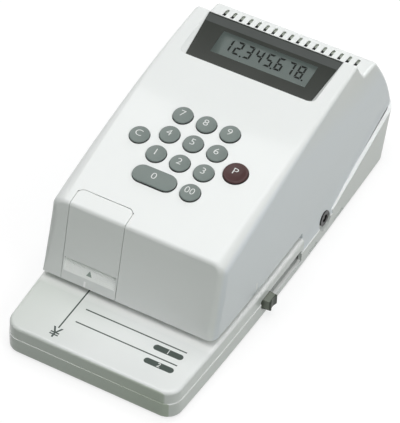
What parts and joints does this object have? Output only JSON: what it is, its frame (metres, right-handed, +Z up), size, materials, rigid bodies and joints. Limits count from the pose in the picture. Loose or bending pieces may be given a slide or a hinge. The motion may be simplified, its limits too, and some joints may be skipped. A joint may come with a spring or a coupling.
{
  "type": "check writer",
  "caption": "Desktop electronic check writer: wedge housing over a flat tray, round keys, tilted display, lift-up ink cover and side paper guide.",
  "frame": {"origin": "under the centre of the overall box, on the plane the feet stand on", "axes": "+X to the operator's right, +Y from the tray edge to the rear, +Z up"},
  "size_m": [0.13, 0.2756, 0.1031],
  "materials": {
    "body_white": "satin gloss",
    "window_smoke": "polished",
    "lcd": "satin",
    "key_grey": "satin",
    "key_red": "satin",
    "knob_grey": "fine texture",
    "fence_steel": "brushed",
    "zinc": "bright zinc",
    "circuit_board": "satin",
    "dark_parts": "satin",
    "rubber_dark": "matt",
    "rubber_mat": "matt",
    "gear_plastic": "satin",
    "cassette_plastic": "satin",
    "type_metal": "machined",
    "motor_steel": "plated",
    "coil_copper": "enamelled wire",
    "cell": "satin",
    "cable_film": "satin"
  },
  "bodies": {
    "base": {"lower_shell": "body_white", "tray_deck": "body_white", "top_housing": "body_white", "display_window": "window_smoke", "lcd_glass": "lcd", "lcd_holder": "knob_grey", "display_board": "circuit_board", "key_mat": "rubber_mat", "key_board": "circuit_board", "idler_stud": "fence_steel", "wheel_motor": "motor_steel", "ink_cassette": "cassette_plastic", "print_chassis": "fence_steel", "hammer_pin": "fence_steel", "hammer_coil": "coil_copper", "feed_motor": "motor_steel", "dc_jack": "dark_parts", "switch_body": "knob_grey", "batteries": "cell", "battery_contacts": "zinc", "main_board": "circuit_board", "board_parts": "dark_parts", "buzzer": "dark_parts", "flat_cable": "cable_film", "rubber_feet": "rubber_dark", "case_screws": "zinc", "inner_screws": "zinc"},
    "ink_cover": {"ink_cover": "body_white"},
    "type_wheel": {"type_wheel": "type_metal", "wheel_shaft": "fence_steel", "wheel_gear": "gear_plastic"},
    "idler_gear": {"idler_gear": "gear_plastic"},
    "wheel_pinion": {"wheel_pinion": "gear_plastic"},
    "ink_roller": {"ink_roller": "rubber_dark", "ink_spindle": "gear_plastic"},
    "print_hammer": {"print_hammer": "type_metal"},
    "feed_roller": {"feed_roller": "rubber_dark", "feed_shaft": "gear_plastic"},
    "feed_pinion": {"feed_pinion": "gear_plastic"},
    "pinch_arm": {"pinch_arm": "fence_steel", "pinch_spring": "zinc"},
    "pinch_roller": {"pinch_roller": "rubber_dark"},
    "paper_guide": {"guide_fence": "fence_steel", "guide_knob": "knob_grey"},
    "power_switch": {"power_switch": "knob_grey"},
    "battery_door": {"battery_door": "body_white"},
    "key_0": {"key_0": "key_grey"},
    "key_00": {"key_00": "key_grey"},
    "key_1": {"key_1": "key_grey"},
    "key_2": {"key_2": "key_grey"},
    "key_3": {"key_3": "key_grey"},
    "key_4": {"key_4": "key_grey"},
    "key_5": {"key_5": "key_grey"},
    "key_6": {"key_6": "key_grey"},
    "key_7": {"key_7": "key_grey"},
    "key_8": {"key_8": "key_grey"},
    "key_9": {"key_9": "key_grey"},
    "key_clear": {"key_clear": "key_grey"},
    "key_print": {"key_print": "key_red"}
  },
  "joints": [
    {"name": "ink_cover_hinge", "type": "hinge", "parent": "base", "child": "ink_cover", "pos_m": [-0.029, -0.07268, 0.0788], "axis": [-1, 0, 0], "range_deg": [0, 75]},
    {"name": "key_0_travel", "type": "slide", "parent": "base", "child": "key_0", "axis": [0, 0.1736, -0.9848], "range_m": [0, 0.0013], "stiffness_N_per_m": 200, "springref_m": -0.001},
    {"name": "key_00_travel", "type": "slide", "parent": "base", "child": "key_00", "axis": [0, 0.1736, -0.9848], "range_m": [0, 0.0013], "stiffness_N_per_m": 200, "springref_m": -0.001},
    {"name": "key_1_travel", "type": "slide", "parent": "base", "child": "key_1", "axis": [0, 0.1736, -0.9848], "range_m": [0, 0.0013], "stiffness_N_per_m": 200, "springref_m": -0.001},
    {"name": "key_2_travel", "type": "slide", "parent": "base", "child": "key_2", "axis": [0, 0.1736, -0.9848], "range_m": [0, 0.0013], "stiffness_N_per_m": 200, "springref_m": -0.001},
    {"name": "key_3_travel", "type": "slide", "parent": "base", "child": "key_3", "axis": [0, 0.1736, -0.9848], "range_m": [0, 0.0013], "stiffness_N_per_m": 200, "springref_m": -0.001},
    {"name": "key_4_travel", "type": "slide", "parent": "base", "child": "key_4", "axis": [0, 0.1736, -0.9848], "range_m": [0, 0.0013], "stiffness_N_per_m": 200, "springref_m": -0.001},
    {"name": "key_5_travel", "type": "slide", "parent": "base", "child": "key_5", "axis": [0, 0.1736, -0.9848], "range_m": [0, 0.0013], "stiffness_N_per_m": 200, "springref_m": -0.001},
    {"name": "key_6_travel", "type": "slide", "parent": "base", "child": "key_6", "axis": [0, 0.1736, -0.9848], "range_m": [0, 0.0013], "stiffness_N_per_m": 200, "springref_m": -0.001},
    {"name": "key_7_travel", "type": "slide", "parent": "base", "child": "key_7", "axis": [0, 0.1736, -0.9848], "range_m": [0, 0.0013], "stiffness_N_per_m": 200, "springref_m": -0.001},
    {"name": "key_8_travel", "type": "slide", "parent": "base", "child": "key_8", "axis": [0, 0.1736, -0.9848], "range_m": [0, 0.0013], "stiffness_N_per_m": 200, "springref_m": -0.001},
    {"name": "key_9_travel", "type": "slide", "parent": "base", "child": "key_9", "axis": [0, 0.1736, -0.9848], "range_m": [0, 0.0013], "stiffness_N_per_m": 200, "springref_m": -0.001},
    {"name": "key_clear_travel", "type": "slide", "parent": "base", "child": "key_clear", "axis": [0, 0.1736, -0.9848], "range_m": [0, 0.0013], "stiffness_N_per_m": 200, "springref_m": -0.001},
    {"name": "key_print_travel", "type": "slide", "parent": "base", "child": "key_print", "axis": [0, 0.1736, -0.9848], "range_m": [0, 0.0013], "stiffness_N_per_m": 200, "springref_m": -0.001},
    {"name": "type_wheel_spin", "type": "hinge", "parent": "base", "child": "type_wheel", "pos_m": [-0.0301, -0.04378, 0.037], "axis": [1, 0, 0], "continuous": true},
    {"name": "idler_spin", "type": "hinge", "parent": "base", "child": "idler_gear", "pos_m": [-0.0096, -0.02858, 0.04577], "axis": [1, 0, 0], "continuous": true},
    {"name": "wheel_pinion_spin", "type": "hinge", "parent": "base", "child": "wheel_pinion", "pos_m": [-0.0096, -0.02234, 0.05665], "axis": [1, 0, 0], "continuous": true},
    {"name": "ink_roller_spin", "type": "hinge", "parent": "base", "child": "ink_roller", "pos_m": [-0.0301, -0.06549, 0.0449], "axis": [1, 0, 0], "continuous": true},
    {"name": "hammer_swing", "type": "hinge", "parent": "base", "child": "print_hammer", "pos_m": [-0.0301, -0.02578, 0.014], "axis": [-1, 0, 0], "range_deg": [0, 5.5], "stiffness_Nm_per_rad": 0.02, "springref_deg": -4.58},
    {"name": "feed_roller_spin", "type": "hinge", "parent": "base", "child": "feed_roller", "pos_m": [0.0059, -0.04378, 0.0152], "axis": [0, 1, 0], "continuous": true},
    {"name": "feed_pinion_spin", "type": "hinge", "parent": "base", "child": "feed_pinion", "pos_m": [0.0112, -0.05878, 0.0114], "axis": [0, 1, 0], "continuous": true},
    {"name": "pinch_arm_lift", "type": "hinge", "parent": "base", "child": "pinch_arm", "pos_m": [0.0199, -0.04378, 0.034], "axis": [0, 1, 0], "range_deg": [0, 6], "stiffness_Nm_per_rad": 0.04, "springref_deg": -6.88},
    {"name": "pinch_roller_spin", "type": "hinge", "parent": "pinch_arm", "child": "pinch_roller", "pos_m": [0.0059, -0.04378, 0.0277], "axis": [0, 1, 0], "continuous": true},
    {"name": "paper_guide_slide", "type": "slide", "parent": "base", "child": "paper_guide", "axis": [0, 1, 0], "range_m": [0, 0.038]},
    {"name": "power_switch_slide", "type": "slide", "parent": "base", "child": "power_switch", "axis": [0, 1, 0], "range_m": [0, 0.004]},
    {"name": "battery_door_hinge", "type": "hinge", "parent": "base", "child": "battery_door", "pos_m": [-0.0021, 0.08951, 0.00175], "axis": [1, 0, 0], "range_deg": [0, 80]}
  ],
  "couplings": [
    {"joint": "idler_spin", "follows": "type_wheel_spin", "ratio": -0.75},
    {"joint": "wheel_pinion_spin", "follows": "type_wheel_spin", "ratio": 3},
    {"joint": "ink_roller_spin", "follows": "type_wheel_spin", "ratio": -1.5111},
    {"joint": "feed_pinion_spin", "follows": "feed_roller_spin", "ratio": -1.1667},
    {"joint": "pinch_roller_spin", "follows": "feed_roller_spin", "ratio": -1.4}
  ]
}
